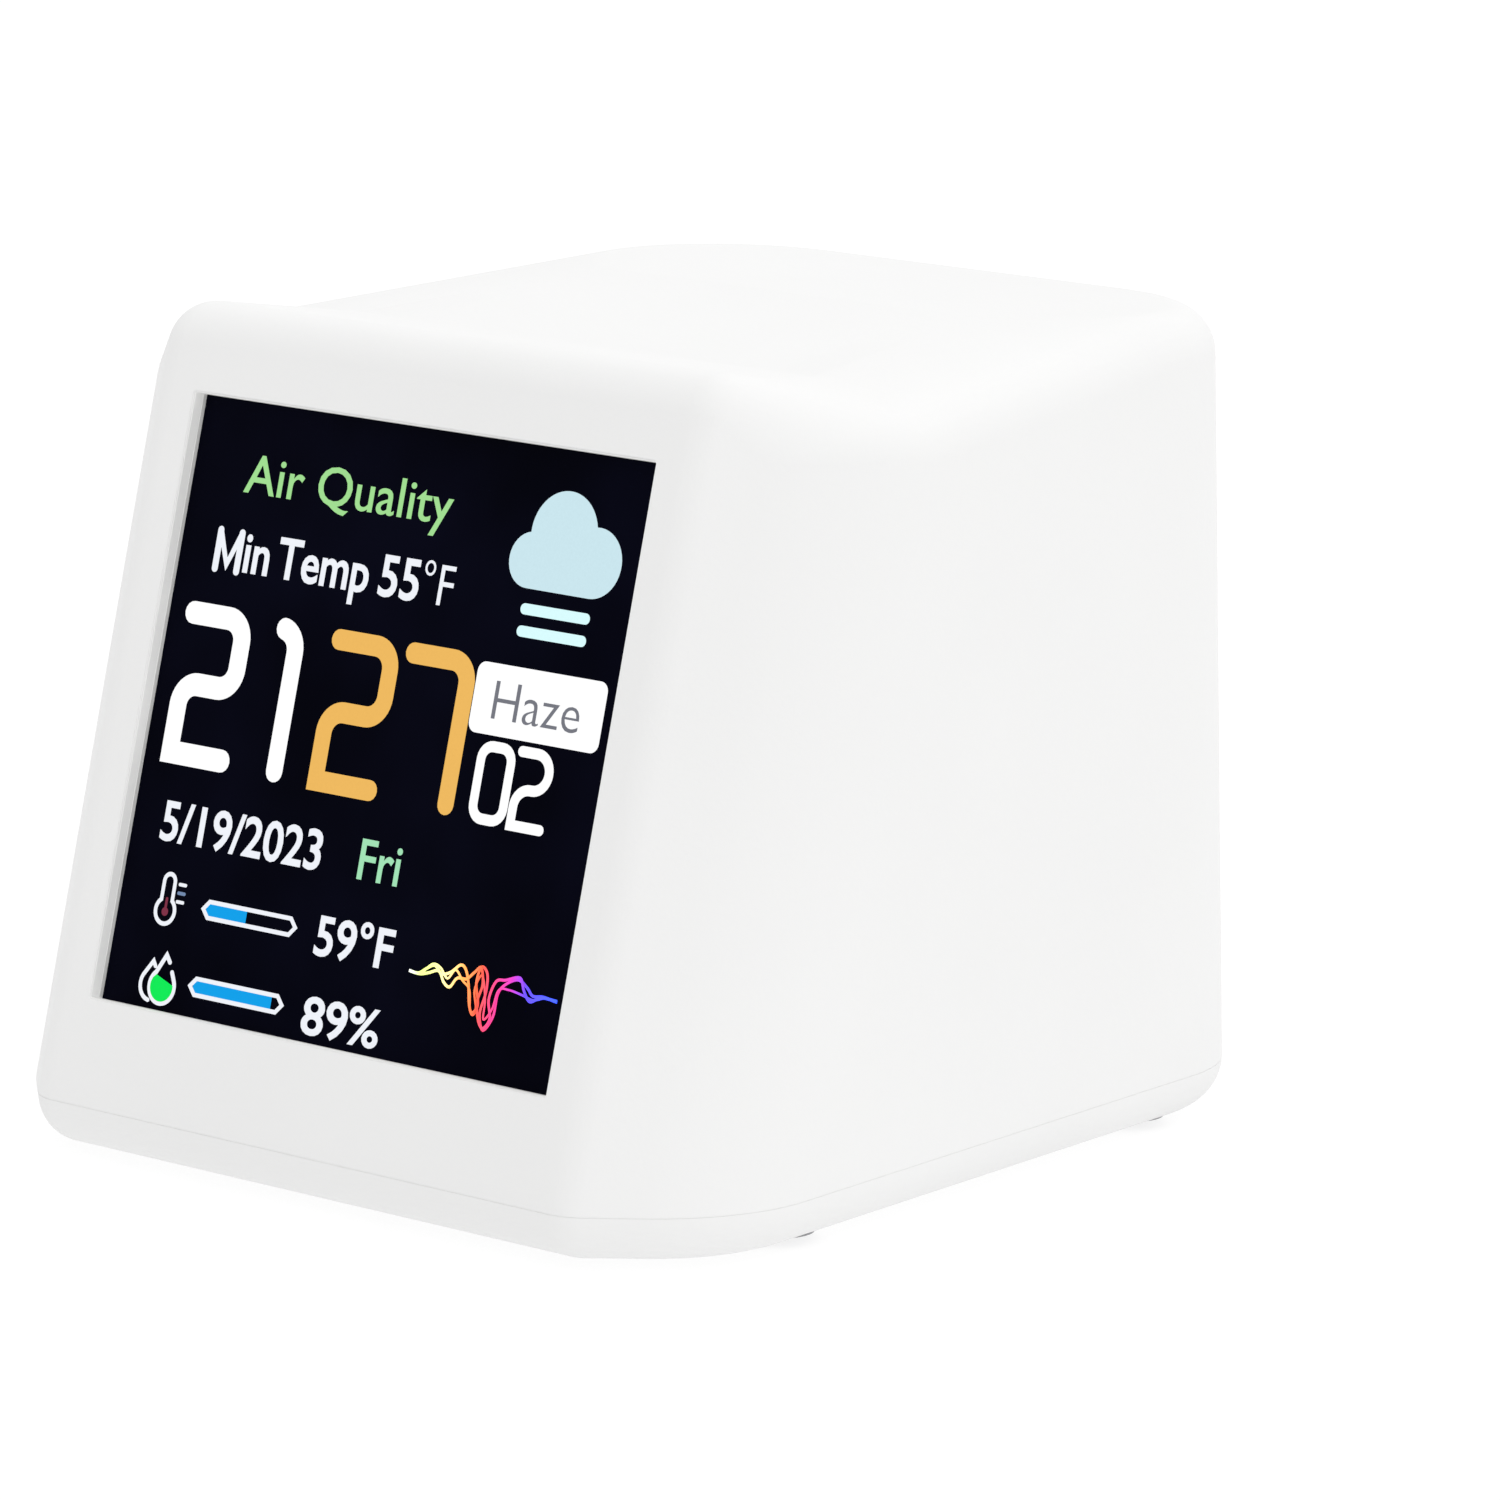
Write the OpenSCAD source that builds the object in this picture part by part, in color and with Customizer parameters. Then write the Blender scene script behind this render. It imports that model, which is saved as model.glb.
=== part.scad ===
// Desktop air quality monitor: a palm-sized wedge-fronted cube with a square colour display,
// a separate base cover, one circuit board, a USB-C inlet and one push button on its back.
// Origin: centre of the footprint, on the surface it stands on. +Z is up, the display faces -Y.

/* [Body] */
// Width of the housing at its front face
front_w = 43.5; // [43:0.1:44.5]
// Width of the housing at its back
back_w = 36.1; // [35.5:0.1:38]
// Width of the flat part of the front face, between its rounded edges
face_w = 30.8; // [30.2:0.1:31]
// Depth along the bottom, before the edges are rounded
body_d = 51.3; // [51:0.1:53]
// Height of the front frame's top edge above the base
face_h = 38.5; // [38.3:0.1:39]
// Height of the roof behind the front frame, above the base
front_h = 36.7; // [36.6:0.1:38]
// Height of the back edge of the roof above the base
back_h = 38.7; // [38.4:0.1:41]
// Angle that the front face leans back
face_lean = 13.3; // [12.5:0.1:14]
// Angle that the back leans forward
back_lean = 3.8; // [3.4:0.1:4]
// Radius of the upright corners, seen from above
corner_r = 8.9; // [8.4:0.1:9]
// Radius of the top and bottom edges
edge_r = 2.3; // [2.2:0.1:2.5]
// Wall thickness
wall = 1.5; // [1.2:0.1:1.6]
// Height of the joint between the housing and the base cover, above the base
base_h = 2.3; // [2:0.1:2.4]
// Height that the feet stand out below the base
foot_h = 0.4; // [0.3:0.1:1]

/* [Display] */
// Side of the square display window
window_s = 28; // [27.8:0.1:28.6]
// Distance from the bottom of the front face up to the middle of the window
window_u = 21.5; // [21.4:0.1:21.8]
// Depth of the display below the front face
window_depth = 0.8; // [0.7:0.1:0.9]
// Width of the display module
module_w = 31; // [30:0.1:31.2]
// Height of the display module
module_h = 33.4; // [32:0.1:33.6]
// Rim of the module above the window
module_rim = 1.5; // [1.2:0.1:1.6]

/* [Board] */
// Width of the main board
board_w = 28; // [26:0.5:28]
// Length of the main board
board_l = 36.8; // [36.6:0.1:37]
// Thickness of the main board
board_t = 1.2; // [1:0.1:1.6]
// Height of the board's standoffs
standoff_h = 3; // [2.8:0.1:3.2]

/* [Button] */
// Radius of the button cap
button_r = 1.75; // [1.5:0.05:1.9]
// Sideways place of the button
button_x = 8.7; // [8.4:0.1:8.9]
// Travel of the button
button_travel = 0.3; // [0.2:0.05:0.4]

/* [Hidden] */
$fn = 48;
hull_fn = 40;
tiny = 0.05;
big = 200;

// Outline of the side view, before rounding
front_inset = edge_r / tan((90 - face_lean) / 2) - edge_r;
back_inset = edge_r / tan((90 - back_lean) / 2) - edge_r;
front_y = -(body_d + front_inset - back_inset) / 2;
back_y = front_y + body_d;
corner_in = corner_r - edge_r;

// Centres of the edge roundings in the side view, [y, z]
face_y = function (z) front_y + z * tan(face_lean);
rear_y = function (z) back_y - z * tan(back_lean);
roof_front_y = face_y(front_h);
roof_back_y = rear_y(back_h);
roof_slope = atan((back_h - front_h) / (roof_back_y - roof_front_y));
low_front = [front_y + edge_r / tan((90 - face_lean) / 2), edge_r];
low_back = [back_y - edge_r / tan((90 - back_lean) / 2), edge_r];
front_half = (90 + face_lean - roof_slope) / 2;
front_reach = edge_r / sin(front_half);
high_front = [roof_front_y + front_reach * cos(front_half + roof_slope),
              front_h - front_reach * sin(front_half - roof_slope)];
frame_top = [face_y(face_h) + edge_r / tan((90 + face_lean) / 2), face_h - edge_r];
back_half = (90 + back_lean + roof_slope) / 2;
back_reach = edge_r / sin(back_half);
high_back = [roof_back_y - back_reach * cos(back_half - roof_slope),
             back_h - back_reach * sin(back_half + roof_slope)];

// Heights
floor_z = foot_h + wall;
joint_z = foot_h + base_h;
board_z = floor_z + standoff_h;
board_top = board_z + board_t;
board_y = -15.3;

// Screws and feet. The cover's bosses run into the side walls.
boss_r = 2.5;
front_boss_x = front_w / 2 - wall - boss_r + 0.25;
back_boss_x = back_w / 2 - wall - boss_r + 0.55;
cover_points = [[-front_boss_x, -13], [front_boss_x, -13], [-back_boss_x, 16.5], [back_boss_x, 16.5]];
board_points = [[-11.9, -13.6], [11.9, -13.6], [-11.9, 9.3], [11.9, 9.3]];
foot_points = [[-13, -18.2], [13, -18.2], [-9.3, 19.2], [9.3, 19.2]];
bracket_points = [[-17.1, 11], [17.1, 11], [-17.1, 30.5], [17.1, 30.5]];
bracket_boss_r = 1.3;
boss_top = 11;
foot_r = 2.4;
foot_sink = 0.5;
screw_r = 0.9;
screw_bore = 0.95;
small_screw_r = 0.65;
small_screw_bore = 0.7;

// Display stack, as depths below the front face
gasket_t = 0.2;
pocket_d = window_depth - gasket_t;
glass_t = 0.8;
light_t = 1;
light_d = window_depth + glass_t;
bracket_d = light_d + light_t;
bracket_pad_t = 1.2;
plate_d = bracket_d + bracket_pad_t;
bracket_t = 1.2;
bracket_boss_d = 2.2;
bracket_bore_d = 2.5;
bracket_screw_l = 2.4;
module_u = window_u + window_s / 2 + module_rim - module_h / 2;

// Display flex, its width, thickness and the middle line of its side view, [y, z]
flex_w = 12;
flex_t = 0.2;
flex_route = [[-23.37, 3.35], [-22.2, 2.72], [-20.4, 2.72], [-18.6, 3.6], [-17.3, 5.2],
              [-16.7, 6.4], [-16.1, 7.1], [-15.2, 7.3], [-13.8, 7.3]];

// USB-C inlet
usb_w = 8.94;
usb_h = 3.2;
usb_l = 7.3;
usb_mouth_y = 24.3;
usb_z = board_top + usb_h / 2;
usb_wall = 0.3;
usb_gap = 0.3;

// Button and switch
button_z = board_top + 2;
switch_w = 5.6;
switch_h = 3.8;
switch_back_y = 21.5;
switch_l = 3.5;
flange_r = 2.4;
flange_t = 0.6;
flange_y = 22.3;
cap_out = 0.3;
slide_gap = 0.1;
stem_r = 0.9;
stem_gap = 0.07;

// Places its children on the front face: x across, y up the face, z out of it
module on_face() {
    translate([0, front_y, foot_h]) rotate([90 - face_lean, 0, 0]) children();
}

// One rounded corner disc of the body, shrunk by an inset
module corner_disc(x, spot, turn, inset) {
    translate([x, spot[0] + turn * corner_in, foot_h + spot[1]])
        rotate_extrude($fn = hull_fn)
            translate([corner_in, 0]) circle(r = edge_r - inset, $fn = hull_fn);
}

// One rounded corner of the flat front face, shrunk by an inset
module face_corner(x, spot, inset) {
    translate([x, spot[0], foot_h + spot[1]]) sphere(r = edge_r - inset, $fn = hull_fn);
}

// The two rounded front corners of one side, where the flat face flares out to the full width
module flared_corner(side, inset) {
    corner_disc(side * (front_w / 2 - corner_r), low_front, 1, inset);
    corner_disc(side * (front_w / 2 - corner_r), high_front, 1, inset);
}

// The rear corners of one side
module rear_corner(side, inset) {
    corner_disc(side * (back_w / 2 - corner_r), low_back, -1, inset);
    corner_disc(side * (back_w / 2 - corner_r), high_back, -1, inset);
}

// The front frame's corners of one side
module frame_corner(side, inset) {
    face_corner(side * face_w / 2, low_front, inset);
    face_corner(side * face_w / 2, frame_top, inset);
}

// The outer form, shrunk all round by an inset: a tapered body behind a taller front frame
module body_form(inset = 0) {
    hull()
        for (side = [-1, 1]) {
            flared_corner(side, inset);
            rear_corner(side, inset);
        }
    hull()
        for (side = [-1, 1]) {
            flared_corner(side, inset);
            frame_corner(side, inset);
        }
}

// The lower part of the outer form, right only below the roof, shrunk all round by an inset
module low_form(inset = 0) {
    hull()
        for (side = [-1, 1]) {
            flared_corner(side, inset);
            rear_corner(side, inset);
            frame_corner(side, inset);
        }
}

// Everything between two heights
module band(z1, z2) {
    translate([-big / 2, -big / 2, z1]) cube([big, big, z2 - z1]);
}

// A block with its middle at x, y and its underside at z
module block(size, x, y, z) {
    translate([x - size[0] / 2, y - size[1] / 2, z]) cube(size);
}

// A bar with round ends, lying along x, extruded along y from 0 to length
module round_slot(w, h, length) {
    rotate([90, 0, 0])
        translate([0, 0, -length])
            linear_extrude(length) {
                square([w - h, h], center = true);
                for (side = [-1, 1]) translate([side * (w - h) / 2, 0]) circle(d = h);
            }
}

// A countersunk screw, head down at z = 0 and shank up
module flat_screw(r, length, head_r, head_h) {
    difference() {
        union() {
            cylinder(r1 = head_r, r2 = r, h = head_h);
            cylinder(r = r, h = length);
        }
        for (turn = [0, 90])
            rotate([0, 0, turn]) translate([0, 0, head_h * 0.2])
                cube([head_r * 1.1, head_r * 0.3, head_h * 0.6], center = true);
    }
}

// A pan head screw, head underside at z = 0, shank down
module pan_screw(r, length, head_r, head_h) {
    difference() {
        union() {
            cylinder(r = head_r, h = head_h);
            translate([0, 0, -length]) cylinder(r = r, h = length + tiny);
        }
        for (turn = [0, 90])
            rotate([0, 0, turn]) translate([0, 0, head_h])
                cube([head_r * 1.2, head_r * 0.32, head_h], center = true);
    }
}

module housing_shell() {
    color("whitesmoke") difference() {
        union() {
            difference() {
                intersection() {
                    body_form();
                    band(joint_z, big);
                }
                body_form(wall);
            }
            cover_bosses();
            on_face() bracket_bosses();
        }
        for (point = cover_points)
            translate([point[0], point[1], joint_z - 1])
                cylinder(r = screw_bore, h = boss_top - joint_z);
        on_face() {
            window_cut();
            bracket_bores();
        }
        rear_openings();
    }
}

// Bosses that take the base cover's screws
module cover_bosses() {
    for (point = cover_points)
        translate([point[0], point[1], joint_z]) cylinder(r = boss_r, h = boss_top - joint_z);
}

// Bosses behind the front face that take the display bracket's screws
module bracket_bosses() {
    for (point = bracket_points)
        translate([point[0], point[1], -plate_d])
            cylinder(r = bracket_boss_r, h = plate_d - bracket_boss_d);
}

// The holes in those bosses
module bracket_bores() {
    for (point = bracket_points)
        translate([point[0], point[1], -plate_d - 1])
            cylinder(r = small_screw_bore, h = 1 + plate_d - bracket_bore_d);
}

// The window through the front face and the pocket that the module sits in
module window_cut() {
    translate([-window_s / 2, window_u - window_s / 2, -wall - 1])
        cube([window_s, window_s, wall + 2]);
    translate([-module_w / 2 - 0.2, module_u - module_h / 2 - 0.2, -wall - 1])
        cube([module_w + 0.4, module_h + 0.4, wall + 1 - pocket_d]);
}

// USB-C opening, button hole and air slots in the back
module rear_openings() {
    slots = 5;
    intakes = 4;
    translate([0, rear_y(usb_z) - 3, usb_z])
        round_slot(usb_w + 2 * usb_gap, usb_h + 2 * usb_gap, 6);
    translate([button_x, rear_y(button_z) - 3, button_z])
        rotate([-90, 0, 0]) cylinder(r = button_r + slide_gap, h = 6);
    for (i = [0:slots - 1])
        translate([0, rear_y(28) - 4, 24 + 2.2 * i]) round_slot(16, 1, 8);
    for (i = [0:intakes - 1])
        translate([-10.9 + 1.5 * i, rear_y(button_z) - 3, button_z])
            rotate([0, 90, 0]) round_slot(4.4, 0.8, 6);
}

module base_cover() {
    color("white") difference() {
        union() {
            difference() {
                intersection() {
                    low_form();
                    band(0, joint_z);
                }
                intersection() {
                    low_form(wall);
                    band(floor_z, big);
                }
            }
            base_rim();
            for (point = cover_points)
                translate([point[0], point[1], foot_h + 1]) cylinder(r = boss_r, h = joint_z - foot_h - 1);
            for (point = board_points)
                translate([point[0], point[1], foot_h + 1]) cylinder(r = 2, h = board_z - foot_h - 1);
        }
        for (point = cover_points)
            translate([point[0], point[1], foot_h]) {
                translate([0, 0, -1]) cylinder(r = screw_r + 0.15, h = 5);
                translate([0, 0, -tiny]) cylinder(r1 = 1.85, r2 = screw_r + 0.15, h = 1.1);
            }
        for (point = board_points)
            translate([point[0], point[1], floor_z]) cylinder(r = small_screw_bore, h = standoff_h + 1);
        for (point = foot_points)
            translate([point[0], point[1], foot_h - 1]) cylinder(r = foot_r + tiny, h = 1 + foot_sink);
    }
}

// Locating rim that stands up inside the housing at the sides and back
module base_rim() {
    rim_gap = 0.1;
    rim_t = 0.8;
    rim_top = joint_z + 1.4;
    difference() {
        intersection() {
            low_form(wall + rim_gap);
            band(floor_z, rim_top);
        }
        low_form(wall + rim_gap + rim_t);
        block([big, 12, 20], 0, front_y + 2, 0);
        for (point = cover_points)
            translate([point[0], point[1], joint_z]) cylinder(r = boss_r + 0.3, h = 5);
    }
}

module rubber_feet() {
    color("gray") for (point = foot_points)
        translate([point[0], point[1], 0]) cylinder(r = foot_r, h = foot_h + foot_sink);
}

module cover_screws() {
    color("silver") for (point = cover_points)
        translate([point[0], point[1], foot_h]) flat_screw(screw_r, 7, 1.8, 1);
}

module display_gasket() {
    rim = 1.2;
    color("dimgray") on_face()
        translate([0, window_u, -window_depth])
            linear_extrude(gasket_t) difference() {
                square(window_s + 2 * rim, center = true);
                square(window_s + 0.2, center = true);
            }
}

module display_glass() {
    color("black") on_face()
        translate([-module_w / 2, module_u - module_h / 2, -light_d])
            cube([module_w, module_h, glass_t]);
}

module display_backlight() {
    color("lightgray") on_face()
        translate([-module_w / 2, module_u - module_h / 2, -bracket_d])
            cube([module_w, module_h, light_t]);
}

// A plate with a raised ring that presses on the back of the display module
module display_bracket() {
    plate = [36.2, 26];
    ring = [29, 24];
    opening = [22, 15];
    color("darkgray") on_face() translate([0, window_u - 1, 0]) {
        translate([0, 0, -plate_d - bracket_t]) linear_extrude(bracket_t) difference() {
            square(plate, center = true);
            square(opening, center = true);
            for (point = bracket_points)
                translate([point[0], point[1] - window_u + 1]) circle(r = small_screw_r + 0.1);
        }
        translate([0, 0, -plate_d]) linear_extrude(bracket_pad_t) difference() {
            square(ring, center = true);
            square([ring[0] - 4, ring[1] - 4], center = true);
        }
    }
}

module bracket_screws() {
    color("silver") on_face() for (point = bracket_points)
        translate([point[0], point[1], -plate_d - bracket_t])
            mirror([0, 0, 1]) pan_screw(small_screw_r, bracket_screw_l, 1.2, 0.7);
}

// Unit direction from one point of the ribbon's route to the next
flex_way = function (i) (flex_route[i + 1] - flex_route[i]) / norm(flex_route[i + 1] - flex_route[i]);

// Step across the ribbon at one point of its route, from its middle line to its face
flex_side = function (i)
    let (last = len(flex_route) - 2,
         before = flex_way(max(i - 1, 0)),
         after = flex_way(min(i, last)),
         middle = (before + after) / norm(before + after))
    [-middle[1], middle[0]] * flex_t / 2 / (middle * before);

// The ribbon follows its route at an even thickness
module display_flex() {
    last = len(flex_route) - 1;
    color("darkorange") rotate([90, 0, 90])
        linear_extrude(flex_w, center = true)
            polygon(concat([for (i = [0:last]) flex_route[i] + flex_side(i)],
                           [for (i = [last:-1:0]) flex_route[i] - flex_side(i)]));
}

module main_board() {
    color("darkgreen") difference() {
        translate([-board_w / 2, board_y, board_z]) cube([board_w, board_l, board_t]);
        for (point = cover_points)
            translate([point[0], point[1], board_z - 1]) cylinder(r = boss_r + 0.4, h = board_t + 2);
        for (point = board_points)
            translate([point[0], point[1], board_z - 1]) cylinder(r = small_screw_r + 0.15, h = board_t + 2);
    }
}

module board_screws() {
    color("silver") for (point = board_points)
        translate([point[0], point[1], board_top]) pan_screw(small_screw_r, 3.4, 1.4, 0.8);
}

// Radio module board with its row of half-round pads along each long side
module wifi_board() {
    pads = 8;
    color("navy") difference() {
        block([24, 16, 0.8], 0, -1, board_top);
        for (i = [0:pads - 1], side = [-1, 1])
            translate([-3.5 + 2 * i, -1 + side * 8, board_top - 1]) cylinder(r = 0.4, h = 3, $fn = 24);
    }
}

module wifi_shield_can() {
    color("silver") difference() {
        block([15, 12, 2.4], 3.6, -1, board_top + 0.8);
        block([14.6, 11.6, 2.2], 3.6, -1, board_top + 0.8 - tiny);
    }
}

module usb_socket_shell() {
    color("silver") translate([0, usb_mouth_y - usb_l, usb_z]) difference() {
        round_slot(usb_w, usb_h, usb_l);
        translate([0, -1, 0])
            round_slot(usb_w - 2 * usb_wall, usb_h - 2 * usb_wall, usb_l + 2);
    }
}

module usb_socket_core() {
    core_l = 2.2;
    color("black") translate([0, usb_mouth_y - usb_l, usb_z]) {
        round_slot(usb_w - 2 * usb_wall, usb_h - 2 * usb_wall, core_l);
        translate([-6.7 / 2, core_l - tiny, -0.35]) cube([6.7, 4.4, 0.7]);
    }
}

module flex_connector() {
    color("ivory") difference() {
        block([14, 3, 1.6], 0, -12.7, board_top);
        translate([-flex_w / 2 - 0.2, -15, flex_route[8][1] - 0.15]) cube([flex_w + 0.4, 2.2, 0.3]);
    }
}

module usb_serial_chip() {
    legs = 8;
    color("dimgray") {
        block([9.9, 3.9, 1.3], -3.2, 11.6, board_top + 0.15);
        for (i = [0:legs - 1])
            block([0.4, 6, 0.2], -7.645 + 1.27 * i, 11.6, board_top);
    }
}

module voltage_regulator() {
    color("dimgray") {
        block([6.5, 3.5, 1.5], 6, 11.3, board_top + 0.1);
        block([3, 1.6, 0.2], 6, 13.7, board_top);
        for (i = [-1:1]) block([0.7, 1.6, 0.2], 6 + 2.3 * i, 8.9, board_top);
    }
}

module capacitors() {
    size = [2, 1.2, 1];
    color("tan") {
        for (i = [0:3]) block(size, 5 + 2.6 * i, -10.1, board_top);
        for (side = [-1, 1]) block(size, 6.4 * side, 15.6, board_top);
    }
}

module resistors() {
    color("black") {
        for (i = [0:2]) block([1.6, 0.8, 0.45], -9.2, -11.6 - 1.3 * i + 1.3, board_top);
        for (side = [-1, 1]) block([0.8, 1.6, 0.45], 5.1 * side, 18.9, board_top);
    }
}

module clock_crystal() {
    color("silver") block([3.2, 2.5, 0.8], -11.5, 12.9, board_top);
}

module air_sensor() {
    color("silver") difference() {
        block([3, 3, 0.95], -8.7, 18.2, board_top);
        translate([-9.4, 18.9, board_top + 0.5]) cylinder(r = 0.3, h = 1);
    }
}

module switch_body() {
    color("black") difference() {
        block([switch_w, switch_l, switch_h], button_x, switch_back_y - switch_l / 2, board_top);
        translate([button_x, switch_back_y - switch_l + 0.8, button_z])
            rotate([-90, 0, 0]) cylinder(r = stem_r + stem_gap, h = switch_l);
    }
}

module switch_plunger() {
    start_y = switch_back_y - switch_l + 0.8 + button_travel + 0.3;
    color("gold") translate([button_x, start_y, button_z])
        rotate([-90, 0, 0]) cylinder(r = stem_r, h = flange_y - start_y);
}

module button_cap() {
    cap_y = rear_y(button_z - foot_h) + cap_out;
    color("white") translate([button_x, flange_y, button_z]) rotate([-90, 0, 0]) {
        cylinder(r = flange_r, h = flange_t);
        cylinder(r = button_r, h = cap_y - flange_y);
    }
}

housing_shell();
base_cover();
rubber_feet();
cover_screws();
display_gasket();
display_glass();
display_backlight();
display_bracket();
bracket_screws();
display_flex();
main_board();
board_screws();
wifi_board();
wifi_shield_can();
usb_socket_shell();
usb_socket_core();
flex_connector();
usb_serial_chip();
voltage_regulator();
capacitors();
resistors();
clock_crystal();
air_sensor();
switch_body();
switch_plunger();
button_cap();
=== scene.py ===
"""Looks of a palm-sized desktop air quality monitor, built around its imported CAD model.

Lengths are in metres. MM turns the driving dimensions, which are in millimetres, into metres.
"""
import math

import bmesh
import bpy
from mathutils import Matrix, Vector


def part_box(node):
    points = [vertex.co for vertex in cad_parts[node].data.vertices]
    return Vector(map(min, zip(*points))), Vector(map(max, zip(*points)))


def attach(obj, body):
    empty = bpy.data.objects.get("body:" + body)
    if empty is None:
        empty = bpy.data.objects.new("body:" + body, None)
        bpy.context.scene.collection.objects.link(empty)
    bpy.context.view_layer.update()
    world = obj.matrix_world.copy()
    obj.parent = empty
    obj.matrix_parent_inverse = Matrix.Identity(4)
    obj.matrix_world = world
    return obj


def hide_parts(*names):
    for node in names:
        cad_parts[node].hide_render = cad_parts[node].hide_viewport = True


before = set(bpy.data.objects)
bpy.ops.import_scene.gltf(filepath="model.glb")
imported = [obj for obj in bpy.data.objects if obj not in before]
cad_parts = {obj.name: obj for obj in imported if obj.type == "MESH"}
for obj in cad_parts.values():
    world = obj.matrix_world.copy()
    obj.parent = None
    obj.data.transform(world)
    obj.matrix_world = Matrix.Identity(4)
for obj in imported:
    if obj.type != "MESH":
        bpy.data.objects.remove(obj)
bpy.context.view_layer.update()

MM = 0.001
MONITOR = "monitor"
BUTTON = "button"

# ---------------------------------------------------------------- driving dimensions, as in the CAD source (mm)
FRONT_W, BACK_W, FACE_W, BODY_D = 43.5, 36.1, 30.8, 51.3
FACE_H, FRONT_H, BACK_H = 38.5, 36.7, 38.7
FACE_LEAN, BACK_LEAN = math.radians(13.3), math.radians(3.8)
CORNER_R, EDGE_R, WALL = 8.9, 2.3, 1.5
FOOT_H, BASE_H = 0.4, 2.3
WINDOW_S, WINDOW_U, WINDOW_DEPTH = 28.0, 21.5, 0.8
MODULE_W, MODULE_H, MODULE_RIM = 31.0, 33.4, 1.5
GASKET_T = 0.2
WINDOW_EASE = 0.15
JOINT_Z = FOOT_H + BASE_H
FLOOR_Z = FOOT_H + WALL
COVER_POINTS = [(-18.0, -13.0), (18.0, -13.0), (-14.6, 16.5), (14.6, 16.5)]
BOARD_POINTS = [(-11.9, -13.6), (11.9, -13.6), (-11.9, 9.3), (11.9, 9.3)]
FOOT_POINTS = [(-13.0, -18.2), (13.0, -18.2), (-9.3, 19.2), (9.3, 19.2)]
BOSS_R, BOSS_TOP, FOOT_R = 2.5, 11.0, 2.4
PILOT_R, BOARD_PILOT_R = 0.95, 0.7
SCREW_HOLE_R, COUNTERSINK_R, COUNTERSINK_DEPTH = 1.05, 1.9, 1.05
POST_R, POST_TOP, FOOT_RECESS = 2.0, 4.9, 0.5
RIM_OUTSIDE, RIM_INSIDE, RIM_H, RIM_BOSS_GAP = 0.1, 0.9, 1.4, 0.3
POCKET_GAP = 0.2
FLANGE_T, TONGUE_HALF = 0.6, 0.35
CONTACT_COUNT, CONTACT_PITCH, CONTACT_HALF, CONTACT_T = 12, 0.5, 0.13, 0.03
LIP_T, LIP_FIT, LIP_SETBACK = 0.028, 0.002, 0.07
SEAM_HALF, SEAM_DEPTH = 0.02, 0.022
BUTTON_X, BUTTON_R, BUTTON_GAP, BUTTON_EDGE = 8.7, 1.75, 0.1, 0.22
USB_W, USB_H, USB_GAP = 8.94, 3.2, 0.3
BOARD_TOP = 6.1
USB_Z = BOARD_TOP + USB_H / 2
BUTTON_Z = BOARD_TOP + 2.0
EXHAUST_Z, EXHAUST_STEP, EXHAUST_COUNT, EXHAUST_HALF = 24, 2.2, 5, (8, 0.5)
INTAKE_X, INTAKE_STEP, INTAKE_COUNT, INTAKE_HALF = -10.9, 1.5, 4, (0.4, 2.2)

FRONT_INSET = EDGE_R / math.tan((math.pi / 2 - FACE_LEAN) / 2) - EDGE_R
BACK_INSET = EDGE_R / math.tan((math.pi / 2 - BACK_LEAN) / 2) - EDGE_R
FRONT_Y = -(BODY_D + FRONT_INSET - BACK_INSET) / 2
BACK_Y = FRONT_Y + BODY_D


def rear_y(z):
    """Where the back wall's outer face is at height z above the floor (mm)."""
    return BACK_Y - (z - FOOT_H) * math.tan(BACK_LEAN)


# ---------------------------------------------------------------- camera, at the photograph's angle
CAMERA_AZIMUTH = math.radians(40.67)
CAMERA_ELEVATION = math.radians(10.53)
CAMERA_ROLL = math.radians(1.27)
CAMERA_DISTANCE = 393.45
CAMERA_AIM = (4.795, -0.048, 18.705)
CAMERA_LENS = 203.5


def make_camera():
    """A long lens, a little above the roof, looking at the front and the right side."""
    data = bpy.data.cameras.new("camera")
    data.lens = CAMERA_LENS
    data.sensor_width = 36
    data.clip_start, data.clip_end = 0.01, 100
    camera = bpy.data.objects.new("camera", data)
    bpy.context.scene.collection.objects.link(camera)
    back = Vector((math.sin(CAMERA_AZIMUTH) * math.cos(CAMERA_ELEVATION),
                   -math.cos(CAMERA_AZIMUTH) * math.cos(CAMERA_ELEVATION),
                   math.sin(CAMERA_ELEVATION)))
    right = Vector((math.cos(CAMERA_AZIMUTH), math.sin(CAMERA_AZIMUTH), 0))
    up = back.cross(right)
    turned = right * math.cos(CAMERA_ROLL) + up * math.sin(CAMERA_ROLL)
    turn = Matrix((turned, back.cross(turned), back)).transposed()
    place = (Vector(CAMERA_AIM) + back * CAMERA_DISTANCE) * MM
    camera.matrix_world = Matrix.Translation(place) @ turn.to_4x4()
    bpy.context.scene.camera = camera


# ---------------------------------------------------------------- materials
def node_material(name):
    """A new material, with its node tree and its Principled shader."""
    material = bpy.data.materials.new(name)
    material.use_nodes = True
    tree = material.node_tree
    return material, tree, tree.nodes["Principled BSDF"]


def object_noise(tree, scale, detail=3.0, roughness=0.55):
    """A noise texture in the row frame. scale is in cycles per metre."""
    place = tree.nodes.new("ShaderNodeTexCoord")
    noise = tree.nodes.new("ShaderNodeTexNoise")
    noise.inputs["Scale"].default_value = scale
    noise.inputs["Detail"].default_value = detail
    noise.inputs["Roughness"].default_value = roughness
    tree.links.new(place.outputs["Object"], noise.inputs["Vector"])
    return noise


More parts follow.
